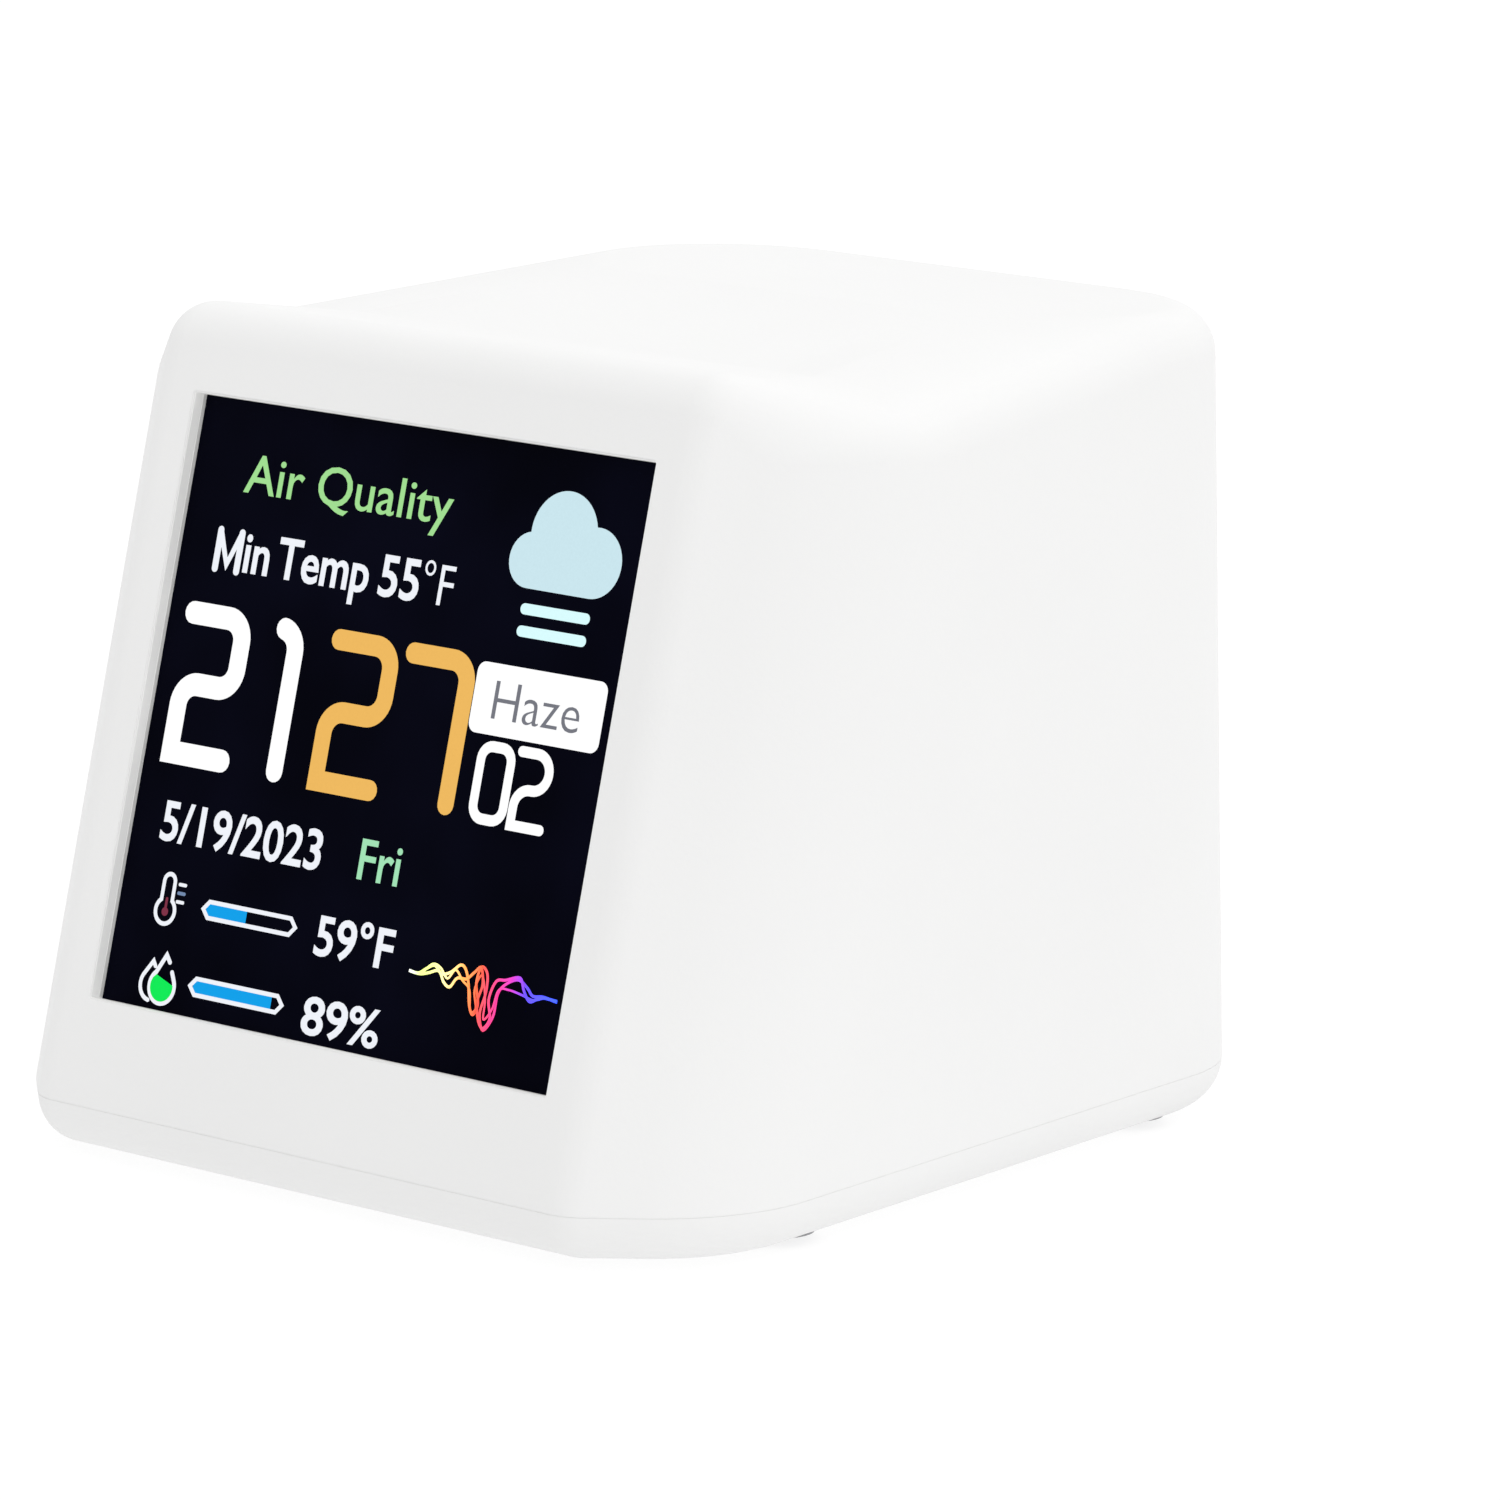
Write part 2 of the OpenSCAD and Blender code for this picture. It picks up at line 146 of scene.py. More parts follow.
def ramp(tree, source, stops):
    """A colour ramp fed by a value. stops is [(position, colour), ...]."""
    node = tree.nodes.new("ShaderNodeValToRGB")
    while len(node.color_ramp.elements) < len(stops):
        node.color_ramp.elements.new(0.5)
    for element, (position, colour) in zip(node.color_ramp.elements, stops):
        element.position = position
        element.color = (*colour[:3], 1)
    tree.links.new(source, node.inputs["Fac"])
    return node


def value_range(tree, source, low, high):
    """Maps 0 to 1 onto low to high."""
    node = tree.nodes.new("ShaderNodeMapRange")
    node.inputs["To Min"].default_value = low
    node.inputs["To Max"].default_value = high
    tree.links.new(source, node.inputs["Value"])
    return node.outputs["Result"]


def add_bump(tree, shader, height, distance, below=None):
    """A bump of a given height in metres, on top of another one if given."""
    node = tree.nodes.new("ShaderNodeBump")
    node.inputs["Distance"].default_value = distance
    tree.links.new(height, node.inputs["Height"])
    if below:
        tree.links.new(below, node.inputs["Normal"])
    tree.links.new(node.outputs["Normal"], shader.inputs["Normal"])
    return node.outputs["Normal"]


def surface(name, colour, rough, grain=6000, depth=0.006, vary=0.06, coat=0.0):
    """A finish with fine grain, slow colour variation and uneven gloss.

    grain is in cycles per metre and depth, the height of the grain, in millimetres.
    """
    material, tree, shader = node_material(name)
    slow = object_noise(tree, 140, 2)
    dark = tuple(c * (1 - vary) for c in colour)
    light = tuple(min(1, c * (1 + vary)) for c in colour)
    tint = ramp(tree, slow.outputs["Fac"], [(0.3, dark), (0.7, light)])
    tree.links.new(tint.outputs["Color"], shader.inputs["Base Color"])
    fine = object_noise(tree, grain, 4)
    rough_vary = 0.12
    uneven = value_range(tree, fine.outputs["Fac"], rough * (1 - rough_vary), min(1, rough * (1 + rough_vary)))
    tree.links.new(uneven, shader.inputs["Roughness"])
    shader.inputs["Coat Weight"].default_value = coat
    add_bump(tree, shader, fine.outputs["Fac"], depth * MM)
    return material


def moulded_white(name, colour, grain_depth):
    """White moulded ABS: a fine spark-eroded grain over a very slow waviness."""
    material, tree, shader = node_material(name)
    slow = object_noise(tree, 60, 2)
    tint = ramp(tree, slow.outputs["Fac"], [(0.3, tuple(c * 0.985 for c in colour)), (0.7, colour)])
    tree.links.new(tint.outputs["Color"], shader.inputs["Base Color"])
    fine = object_noise(tree, 3600, 5, 0.6)
    wide = object_noise(tree, 900, 2, 0.5)
    uneven = value_range(tree, fine.outputs["Fac"], 0.42, 0.6)
    tree.links.new(uneven, shader.inputs["Roughness"])
    shader.inputs["Specular IOR Level"].default_value = 0.4
    first = add_bump(tree, shader, wide.outputs["Fac"], 0.3 * grain_depth * MM)
    add_bump(tree, shader, fine.outputs["Fac"], grain_depth * MM, below=first)
    return material


def glowing(name, colour):
    """One lit colour of the display, under the display's glossy face."""
    material, tree, shader = node_material(name)
    place = tree.nodes.new("ShaderNodeTexCoord")
    noise = tree.nodes.new("ShaderNodeTexNoise")
    noise.inputs["Scale"].default_value = 8500
    tree.links.new(place.outputs["Object"], noise.inputs["Vector"])
    tint = ramp(tree, noise.outputs["Fac"], [(0.3, tuple(c * 0.05 for c in colour)),
                                             (0.7, tuple(c * 0.08 for c in colour))])
    tree.links.new(tint.outputs["Color"], shader.inputs["Base Color"])
    shader.inputs["Emission Color"].default_value = (*colour, 1)
    shader.inputs["Emission Strength"].default_value = 1.0
    shader.inputs["Specular IOR Level"].default_value = 0.02
    shader.inputs["Roughness"].default_value = 0.35
    return material


# ---------------------------------------------------------------- mesh helpers
def new_piece(name, mesh_data, material, body=MONITOR, replaces=()):
    """Puts a finished mesh into the scene as a piece that rides on a body."""
    piece = bpy.data.objects.new(name, mesh_data)
    bpy.context.scene.collection.objects.link(piece)
    piece.data.materials.clear()
    piece.data.materials.append(material)
    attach(piece, body)
    if replaces:
        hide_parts(*replaces)
    return piece


def mesh_from(points, faces, name="shape"):
    """A mesh data block from points in millimetres."""
    data = bpy.data.meshes.new(name)
    data.from_pydata([Vector(p) * MM for p in points], [], faces)
    data.update()
    return data


def work_object(data):
    """An object that only lives while a mesh is being cut."""
    thing = bpy.data.objects.new("work", data)
    bpy.context.scene.collection.objects.link(thing)
    return thing


def boolean(target, tools, operation):
    """target's mesh after every tool has been applied to it."""
    holders = [work_object(tool) for tool in tools]
    for holder in holders:
        step = target.modifiers.new("cut", "BOOLEAN")
        step.operation = operation
        step.solver = "MANIFOLD"
        step.object = holder
    graph = bpy.context.evaluated_depsgraph_get()
    result = bpy.data.meshes.new_from_object(target.evaluated_get(graph))
    target.modifiers.clear()
    target.data = result
    for holder in holders:
        bpy.data.objects.remove(holder)


def finish_mesh(target, sharp=28.0):
    """Cleans a cut mesh and shades it smooth up to a given angle, with face-weighted normals."""
    bm = bmesh.new()
    bm.from_mesh(target.data)
    bmesh.ops.remove_doubles(bm, verts=bm.verts, dist=0.0004 * MM)
    bmesh.ops.dissolve_degenerate(bm, edges=bm.edges, dist=0.0004 * MM)
    for face in bm.faces:
        face.smooth = True
    for edge in bm.edges:
        edge.smooth = len(edge.link_faces) == 2 and edge.calc_face_angle(0) < math.radians(sharp)
    bm.to_mesh(target.data)
    bm.free()
    step = target.modifiers.new("normals", "WEIGHTED_NORMAL")
    step.keep_sharp = True
    graph = bpy.context.evaluated_depsgraph_get()
    result = bpy.data.meshes.new_from_object(target.evaluated_get(graph))
    bpy.data.objects.remove(target)
    return result


def circle_points(radius, count):
    """Points evenly round a circle."""
    turns = [2 * math.pi * i / count for i in range(count)]
    return [(radius * math.cos(t), radius * math.sin(t)) for t in turns]


def rounded_rectangle(half_w, half_h, radius, segments=8):
    """Corner points of a rectangle with round corners, counter-clockwise."""
    radius = min(radius, half_w, half_h)
    points = []
    for corner, (sx, sy) in enumerate([(1, 1), (-1, 1), (-1, -1), (1, -1)]):
        centre = Vector((sx * (half_w - radius), sy * (half_h - radius)))
        for i in range(segments + 1):
            angle = (corner + i / segments) * math.pi / 2
            points.append((centre.x + radius * math.cos(angle), centre.y + radius * math.sin(angle)))
    return points


def loft(loops, close_ends=True):
    """A closed skin over equal loops of 3-D points (mm), first to last."""
    count = len(loops[0])
    points = [p for loop in loops for p in loop]
    faces = []
    for k in range(len(loops) - 1):
        for i in range(count):
            j = (i + 1) % count
            faces.append((k * count + i, k * count + j, (k + 1) * count + j, (k + 1) * count + i))
    if close_ends:
        faces.append(tuple(reversed(range(count))))
        faces.append(tuple(range((len(loops) - 1) * count, len(loops) * count)))
    return mesh_from(points, faces)


def face_point(x, u, n):
    """A point on the front face: x across, u up the face, n out of it (mm)."""
    return (x,
            FRONT_Y + u * math.sin(FACE_LEAN) - n * math.cos(FACE_LEAN),
            FOOT_H + u * math.cos(FACE_LEAN) + n * math.sin(FACE_LEAN))


def flare(radius, steps=4):
    """(how far outward, how far along) of an edge rounded by a radius, from the hole's wall out."""
    turns = [math.pi / 2 * i / steps for i in range(steps + 1)]
    return [(radius * (1 - math.cos(t)), -radius * (1 - math.sin(t))) for t in turns]


def front_cutter(half, radius, edge, depth):
    """Cuts a square opening in from the front face, with a rounded outer edge."""
    levels = [(0.0, -depth)] + flare(edge) + [(edge + 0.02, 0.6)]
    loops = []
    for out, n in levels:
        outline = rounded_rectangle(half + out, half + out, radius + out, 5)
        loops.append([face_point(x, WINDOW_U + v, n) for x, v in outline])
    return loft(loops)


def rear_cutter(x, z, half_w, half_h, radius, edge, depth=4.0):
    """Cuts a hole forward through the leaning back wall, with a rounded outer edge."""
    levels = [(0.0, -depth)] + flare(edge, 3) + [(edge + 0.02, 0.6)]
    loops = []
    for out, n in levels:
        outline = rounded_rectangle(half_w + out, half_h + out, radius + out, 6)
        loops.append([(x - px, rear_y(z + pz) + n, z + pz) for px, pz in outline])
    return loft(loops)


def tube(x, y, z1, z2, r1, r2=None, count=40):
    """A closed upright cylinder or cone (mm)."""
    loops = [[(x + px, y + py, z) for px, py in circle_points(r, count)]
             for z, r in ((z1, r1), (z2, r1 if r2 is None else r2))]
    return loft(loops)


def slab(low, high):
    """A closed box between two corners (mm)."""
    (x1, y1, z1), (x2, y2, z2) = low, high
    return loft([[(x1, y1, z), (x2, y1, z), (x2, y2, z), (x1, y2, z)] for z in (z1, z2)])


# ---------------------------------------------------------------- housing
def disc_centres():
    """Side-view centres of the four edge roundings: [(y, z, which way the plan corner lies), ...]."""
    roof_front = FRONT_Y + FRONT_H * math.tan(FACE_LEAN)
    roof_back = BACK_Y - BACK_H * math.tan(BACK_LEAN)
    slope = math.atan((BACK_H - FRONT_H) / (roof_back - roof_front))
    front_half = (math.pi / 2 + FACE_LEAN - slope) / 2
    front_reach = EDGE_R / math.sin(front_half)
    back_half = (math.pi / 2 + BACK_LEAN + slope) / 2
    back_reach = EDGE_R / math.sin(back_half)
    return [(FRONT_Y + EDGE_R / math.tan((math.pi / 2 - FACE_LEAN) / 2), EDGE_R, 1),
            (roof_front + front_reach * math.cos(front_half + slope),
             FRONT_H - front_reach * math.sin(front_half - slope), 1),
            (BACK_Y - EDGE_R / math.tan((math.pi / 2 - BACK_LEAN) / 2), EDGE_R, -1),
            (roof_back - back_reach * math.cos(back_half - slope),
             BACK_H - back_reach * math.sin(back_half + slope), -1)]


def add_ball(bm, centre, radius, around, over):
    """Points of one rounded corner of the flat front face."""
    for px, py in circle_points(1, around):
        for i in range(over + 1):
            tilt = math.pi * (i / over - 0.5)
            reach = radius * math.cos(tilt)
            bm.verts.new(Vector((centre[0] + reach * px, centre[1] + reach * py,
                                 centre[2] + radius * math.sin(tilt))) * MM)


def hull_form(discs, balls, inset, around, over):
    """The hull of rounded discs, and of small corners of the flat front face if balls are given (mm)."""
    reach = CORNER_R - EDGE_R
    radius = EDGE_R - inset
    bm = bmesh.new()
    for side in (-1, 1):
        for y, z in balls:
            add_ball(bm, (side * FACE_W / 2, y, FOOT_H + z), radius, around, over)
        for y, z, turn in discs:
            half = (FRONT_W if turn > 0 else BACK_W) / 2 - CORNER_R
            for px, py in circle_points(1, around):
                for i in range(over + 1):
                    tilt = math.pi * (i / over - 0.5)
                    ring = reach + radius * math.cos(tilt)
                    bm.verts.new(Vector((side * half + ring * px, y + turn * reach + ring * py,
                                         FOOT_H + z + radius * math.sin(tilt))) * MM)
    hull = bmesh.ops.convex_hull(bm, input=bm.verts)
    loose = {v for v in hull["geom_interior"] + hull["geom_unused"] if isinstance(v, bmesh.types.BMVert)}
    bmesh.ops.delete(bm, geom=list(loose), context="VERTS")
    bmesh.ops.dissolve_limit(bm, angle_limit=math.radians(0.02), verts=bm.verts, edges=bm.edges)
    data = bpy.data.meshes.new("form")
    bm.to_mesh(data)
    bm.free()
    return data


def body_form(inset=0.0, around=96, over=24):
    """The closed outer form, shrunk all round by an inset: a tapered body behind a taller front frame."""
    discs = disc_centres()
    frame_top = (FRONT_Y + FACE_H * math.tan(FACE_LEAN) + EDGE_R / math.tan((math.pi / 2 + FACE_LEAN) / 2),
                 FACE_H - EDGE_R)
    body = work_object(hull_form(discs, [], inset, around, over))
    boolean(body, [hull_form(discs[:2], [discs[0][:2], frame_top], inset, around, over)], "UNION")
    data = body.data
    bpy.data.objects.remove(body)
    return data


def seam_ring():
    """What is cut from both mouldings to leave a fine groove where they meet."""
    ring = work_object(slab((-40, -40, JOINT_Z - SEAM_HALF), (40, 40, JOINT_Z + SEAM_HALF)))
    boolean(ring, [body_form(SEAM_DEPTH)], "DIFFERENCE")
    data = ring.data
    bpy.data.objects.remove(ring)
    return data


def cut_level(data, z, keep_above):
    """The part of a closed mesh above or below a level (mm)."""
    bm = bmesh.new()
    bm.from_mesh(data)
    bmesh.ops.bisect_plane(bm, geom=bm.verts[:] + bm.edges[:] + bm.faces[:], plane_co=(0, 0, z * MM),
                           plane_no=(0, 0, 1), clear_inner=keep_above, clear_outer=not keep_above)
    bmesh.ops.contextual_create(bm, geom=[e for e in bm.edges if e.is_boundary])
    bmesh.ops.recalc_face_normals(bm, faces=bm.faces)
    result = bpy.data.meshes.new("half")
    bm.to_mesh(result)
    bm.free()
    return result


def make_housing(outer, inner, seam, material):
    """The case: front, roof, sides and back in one moulding."""
    shell = work_object(cut_level(outer, JOINT_Z, True))
    boolean(shell, [inner, seam], "DIFFERENCE")
    bosses = [tube(x, y, JOINT_Z, BOSS_TOP, BOSS_R) for x, y in COVER_POINTS]
    boolean(shell, bosses, "UNION")
    module_u = WINDOW_U + WINDOW_S / 2 + MODULE_RIM - MODULE_H / 2
    half_w, half_h = MODULE_W / 2 + POCKET_GAP, MODULE_H / 2 + POCKET_GAP
    pocket = loft([[face_point(x, module_u + v, n)
                    for x, v in ((-half_w, -half_h), (half_w, -half_h), (half_w, half_h), (-half_w, half_h))]
                   for n in (-WALL - 1, -(WINDOW_DEPTH - GASKET_T))])
    cuts = [tube(x, y, JOINT_Z - 1, BOSS_TOP - 1, PILOT_R) for x, y in COVER_POINTS]
    cuts += [pocket, front_cutter(WINDOW_S / 2 + WINDOW_EASE, 0.12, 0.06, 3.0)]
    usb_half_w, usb_half_h = USB_W / 2 + USB_GAP, USB_H / 2 + USB_GAP
    cuts.append(rear_cutter(0, USB_Z, usb_half_w, usb_half_h, usb_half_h, 0.3))
    bore = BUTTON_R + BUTTON_GAP
    cuts.append(rear_cutter(BUTTON_X, BUTTON_Z, bore, bore, bore, 0.2))
    cuts += [rear_cutter(0, EXHAUST_Z + EXHAUST_STEP * i, *EXHAUST_HALF, min(EXHAUST_HALF), 0.15)
             for i in range(EXHAUST_COUNT)]
    cuts += [rear_cutter(INTAKE_X + INTAKE_STEP * i, BUTTON_Z, *INTAKE_HALF, min(INTAKE_HALF), 0.15)
             for i in range(INTAKE_COUNT)]
    boolean(shell, cuts, "DIFFERENCE")
    new_piece("housing", finish_mesh(shell), material, replaces=["housing_shell"])


def make_base(outer, inner, seam, material):
    """The bottom cover with its rim, posts, countersinks and foot recesses."""
    base = work_object(cut_level(outer, JOINT_Z, False))
    boolean(base, [cut_level(inner, FLOOR_Z, True), seam], "DIFFERENCE")
    posts = [tube(x, y, FOOT_H + 1, JOINT_Z, BOSS_R) for x, y in COVER_POINTS]
    posts += [tube(x, y, FOOT_H + 1, POST_TOP, POST_R) for x, y in BOARD_POINTS]
    rim = work_object(cut_level(cut_level(body_form(WALL + RIM_OUTSIDE, 64, 16), FLOOR_Z, True),
                                JOINT_Z + RIM_H, False))
    inside = cut_level(body_form(WALL + RIM_INSIDE, 64, 8), FLOOR_Z - 1, True)
    clear = [tube(x, y, JOINT_Z, 8, BOSS_R + RIM_BOSS_GAP) for x, y in COVER_POINTS]
    boolean(rim, [inside, slab((-50, FRONT_Y - 4, -1), (50, FRONT_Y + 8, 20))] + clear, "DIFFERENCE")
    boolean(base, posts + [rim.data.copy()], "UNION")
    bpy.data.objects.remove(rim)
    cuts = []
    for x, y in COVER_POINTS:
        cuts.append(tube(x, y, FOOT_H - 1, FOOT_H + 4, SCREW_HOLE_R))
        cuts.append(tube(x, y, FOOT_H - 0.05, FOOT_H + COUNTERSINK_DEPTH, COUNTERSINK_R, SCREW_HOLE_R))
    cuts += [tube(x, y, FLOOR_Z, 6, BOARD_PILOT_R) for x, y in BOARD_POINTS]
    cuts += [tube(x, y, FOOT_H - 1, FOOT_H + FOOT_RECESS, FOOT_R + 0.06) for x, y in FOOT_POINTS]
    boolean(base, cuts, "DIFFERENCE")
    new_piece("base", finish_mesh(base), material, replaces=["base_cover"])


# ---------------------------------------------------------------- small parts seen from outside
def join(meshes):
    """One mesh made of several separate closed ones."""
    bm = bmesh.new()
    for data in meshes:
        bm.from_mesh(data)
    bmesh.ops.recalc_face_normals(bm, faces=bm.faces)
    result = bpy.data.meshes.new("joined")
    bm.to_mesh(result)
    bm.free()
    return work_object(result)


def make_button(material):
    """The button's cap: a flange inside the wall and a shaft with a rounded, slightly dished end."""
    low, high = [[value / MM for value in corner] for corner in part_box("button_cap")]
    x, z = (low[0] + high[0]) / 2, (low[2] + high[2]) / 2
    flange_r, back = (high[0] - low[0]) / 2, low[1]
    profile = [(flange_r, back), (flange_r, back + FLANGE_T), (BUTTON_R, back + FLANGE_T)]
    profile += [(BUTTON_R - BUTTON_EDGE * (1 - math.cos(t)), high[1] + BUTTON_EDGE * (math.sin(t) - 1))
                for t in (0, 0.4, 0.8, 1.2, math.pi / 2)]
    profile += [(r, high[1] - dish) for r, dish in ((1.2, 0.01), (0.8, 0.05), (0.4, 0.07), (0.02, 0.075))]
    loops = [[(x + px, y, z + pz) for px, pz in circle_points(r, 64)] for r, y in profile]
    cap = finish_mesh(work_object(loft(loops)), 40)
    new_piece("button", cap, material, body=BUTTON, replaces=["button_cap"])


def make_feet(material):
    """Four rubber feet with a rounded lower edge."""
    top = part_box("rubber_feet")[1][2] / MM
    profile = [(FOOT_R - 0.2, 0.0), (FOOT_R - 0.06, 0.06), (FOOT_R, 0.2), (FOOT_R, top)]
    feet = [loft([[(x + px, y + py, z) for px, py in circle_points(r, 48)] for r, z in profile])
            for x, y in FOOT_POINTS]
    new_piece("feet", finish_mesh(join(feet), 40), material, replaces=["rubber_feet"])


def make_window_lip(material):
    """The gasket's thin lip up the window's side walls, with a faint painted glow standing in for the display's
    light on them.
    """
    outer = WINDOW_S / 2 + WINDOW_EASE - LIP_FIT
    inner = outer - LIP_T
    near, far = -LIP_SETBACK, 0.01 - WINDOW_DEPTH
    loops = [[face_point(x, WINDOW_U + v, n) for x, v in rounded_rectangle(half, half, 0.1, 5)]
             for half, n in ((outer, near), (outer, far), (inner, far), (inner, near))]
    count = len(loops[0])
    faces = [(k * count + i, k * count + (i + 1) % count, (k + 1) % 4 * count + (i + 1) % count,
              (k + 1) % 4 * count + i) for k in range(4) for i in range(count)]
    ring = mesh_from([point for loop in loops for point in loop], faces)
    shader = material.node_tree.nodes["Principled BSDF"]
    # painted glow: the lip's material gives off faint white light so the window's side walls look lit
    shader.inputs["Emission Color"].default_value = (1, 1, 1, 1)
    shader.inputs["Emission Strength"].default_value = 0.15
    new_piece("window_lip", finish_mesh(join([ring])), material)


def make_contacts(material):
    """Gold contacts on both sides of the USB-C tongue."""
    low, high = [[value / MM for value in corner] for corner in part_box("usb_socket_core")]
    middle = (low[2] + high[2]) / 2
    strips = []
    for k in range(CONTACT_COUNT):
        x = CONTACT_PITCH * (k - (CONTACT_COUNT - 1) / 2)
        for side in (-1, 1):
            levels = sorted((middle + side * TONGUE_HALF, middle + side * (TONGUE_HALF + CONTACT_T)))
            strips.append(slab((x - CONTACT_HALF, high[1] - 3.9, levels[0]),
                               (x + CONTACT_HALF, high[1] - 0.5, levels[1])))
    new_piece("usb_contacts", finish_mesh(join(strips)), material)


# ---------------------------------------------------------------- display picture
# Places on the display are (across, up) from the middle of the window, in mm. Layers lie in front of the glass.
GLASS_N = -WINDOW_DEPTH
LAYER = 0.02
GLASS_GAP, PLATE_SHARE = 0.004, 0.8


def arc(cx, cy, r, start, end, steps=10):
    """Points on an arc, angles in degrees."""
    turns = [math.radians(start + (end - start) * i / steps) for i in range(steps + 1)]
    return [(cx + r * math.cos(t), cy + r * math.sin(t)) for t in turns]


def side_steps(path, closed):
    """The unit direction across the path at every point, lengthened at corners."""
    count = len(path)
    steps = []
    for i in range(count):
        here = Vector(path[i])
        before = Vector(path[i - 1]) if closed or i else None
        after = Vector(path[(i + 1) % count]) if closed or i < count - 1 else None
        sides = []
        if before is not None:
            way = (here - before).normalized()
            sides.append(Vector((-way.y, way.x)))
        if after is not None:
            way = (after - here).normalized()
            sides.append(Vector((-way.y, way.x)))
        middle = sum(sides, Vector((0, 0))).normalized()
        steps.append(middle / max(0.5, middle.dot(sides[0])))
    return steps


def stroke(path, width, closed=False):
    """Outline loops of a pen stroke: one loop with round ends, or two loops if the path is closed."""
    half = width / 2
    steps = side_steps(path, closed)
    left = [Vector(p) + s * half for p, s in zip(path, steps)]
    right = [Vector(p) - s * half for p, s in zip(path, steps)]
    if closed:
        return [left, right]
    first, last = steps[0], steps[-1]
    end = [Vector(path[-1]) + Vector((last.x * math.cos(t) + last.y * math.sin(t),
                                      last.y * math.cos(t) - last.x * math.sin(t))) * half
           for t in [math.pi * i / 8 for i in range(1, 8)]]
    begin = [Vector(path[0]) + Vector((-first.x * math.cos(t) - first.y * math.sin(t),
                                       -first.y * math.cos(t) + first.x * math.sin(t))) * half
             for t in [math.pi * i / 8 for i in range(1, 8)]]
    return [left + end + right[::-1] + begin]


def display_point(x, v, n):
    """A point on the display: x across, v up from the window's middle, n out of the face (mm)."""
    return face_point(x, WINDOW_U + v, n)


def plates(shapes, level):
    """A mesh of thin closed plates lying on the display. shapes holds one loop, or two for a ring."""
    near = GLASS_N + GLASS_GAP + level * LAYER
    far = near + LAYER * PLATE_SHARE
    bm = bmesh.new()
    for loops in shapes:
        rows = [[bm.verts.new(Vector(display_point(p[0], p[1], n)) * MM) for p in loop]
                for loop in loops for n in (near, far)]
        count = len(rows[0])
        for k in range(0, len(rows), 2):
            for i in range(count):
                j = (i + 1) % count
                bm.faces.new((rows[k][i], rows[k][j], rows[k + 1][j], rows[k + 1][i]))
        if len(loops) == 2:
            for low in (0, 1):
                for i in range(count):
                    j = (i + 1) % count
                    bm.faces.new((rows[low][i], rows[low][j], rows[low + 2][j], rows[low + 2][i]))
        else:
            bm.faces.new(rows[0])
            bm.faces.new(rows[1])
    bmesh.ops.triangulate(bm, faces=[f for f in bm.faces if len(f.verts) > 4])
    bmesh.ops.recalc_face_normals(bm, faces=bm.faces)
    data = bpy.data.meshes.new("plates")
    bm.to_mesh(data)
    bm.free()
    return data


def draw(name, shapes, material, level=0):
    """One lit mark of the picture. A higher level lies in front of a lower one."""
    new_piece(name, plates(shapes, level), material)


def write(name, words, left, right, top, base, material, level=0, bold=0.0, measure=None):
    """Generic lettering fitted between left and right, and between its capitals' top and base (mm).

    measure is the text whose height is taken as the height of a capital.
    """
    def flat(body):
        text = bpy.data.curves.new("words", "FONT")
        text.body = body
        text.offset = bold
        text.resolution_u = 4
        holder = bpy.data.objects.new("words", text)
        bpy.context.scene.collection.objects.link(holder)
        graph = bpy.context.evaluated_depsgraph_get()
        data = bpy.data.meshes.new_from_object(holder.evaluated_get(graph))
        bpy.data.objects.remove(holder)
        return data
    capital = flat(measure or "H")
    cap_low, cap_high = min(v.co.y for v in capital.vertices), max(v.co.y for v in capital.vertices)
    data = flat(words)
    low, high = min(v.co.x for v in data.vertices), max(v.co.x for v in data.vertices)
    near = GLASS_N + GLASS_GAP + level * LAYER
    bm = bmesh.new()
    bm.from_mesh(data)
    bmesh.ops.remove_doubles(bm, verts=bm.verts, dist=1e-5)
    for vert in bm.verts:
        x = left + (vert.co.x - low) / (high - low) * (right - left)
        v = base + (vert.co.y - cap_low) / (cap_high - cap_low) * (top - base)
        vert.co = Vector(display_point(x, v, near)) * MM
    shift = (Vector(display_point(0, 0, near + LAYER * PLATE_SHARE)) - Vector(display_point(0, 0, near))) * MM
    made = bmesh.ops.extrude_face_region(bm, geom=bm.faces[:])
    bmesh.ops.translate(bm, vec=shift, verts=[g for g in made["geom"] if isinstance(g, bmesh.types.BMVert)])
    bmesh.ops.recalc_face_normals(bm, faces=bm.faces)
    solid = bpy.data.meshes.new(name)
    bm.to_mesh(solid)
    bm.free()
    new_piece(name, solid, material)


def two(left, right, top, base, width):
    """A seven-segment style 2 with round bends, as one stroke. Its box is that of the stroke's edges."""
    l, r, t, b = left + width / 2, right - width / 2, top - width / 2, base + width / 2
    mid = (t + b) / 2
    bend = 1.02 * min(1.0, (t - mid) / 2.4 + 0.12)
    path = [(l, t)] + arc(r - bend, t - bend, bend, 90, 0) + arc(r - bend, mid + bend, bend, 0, -90)
    path += arc(l + bend, mid - bend, bend, 90, 180) + [(l, b), (r, b)]
    return stroke(path, width)


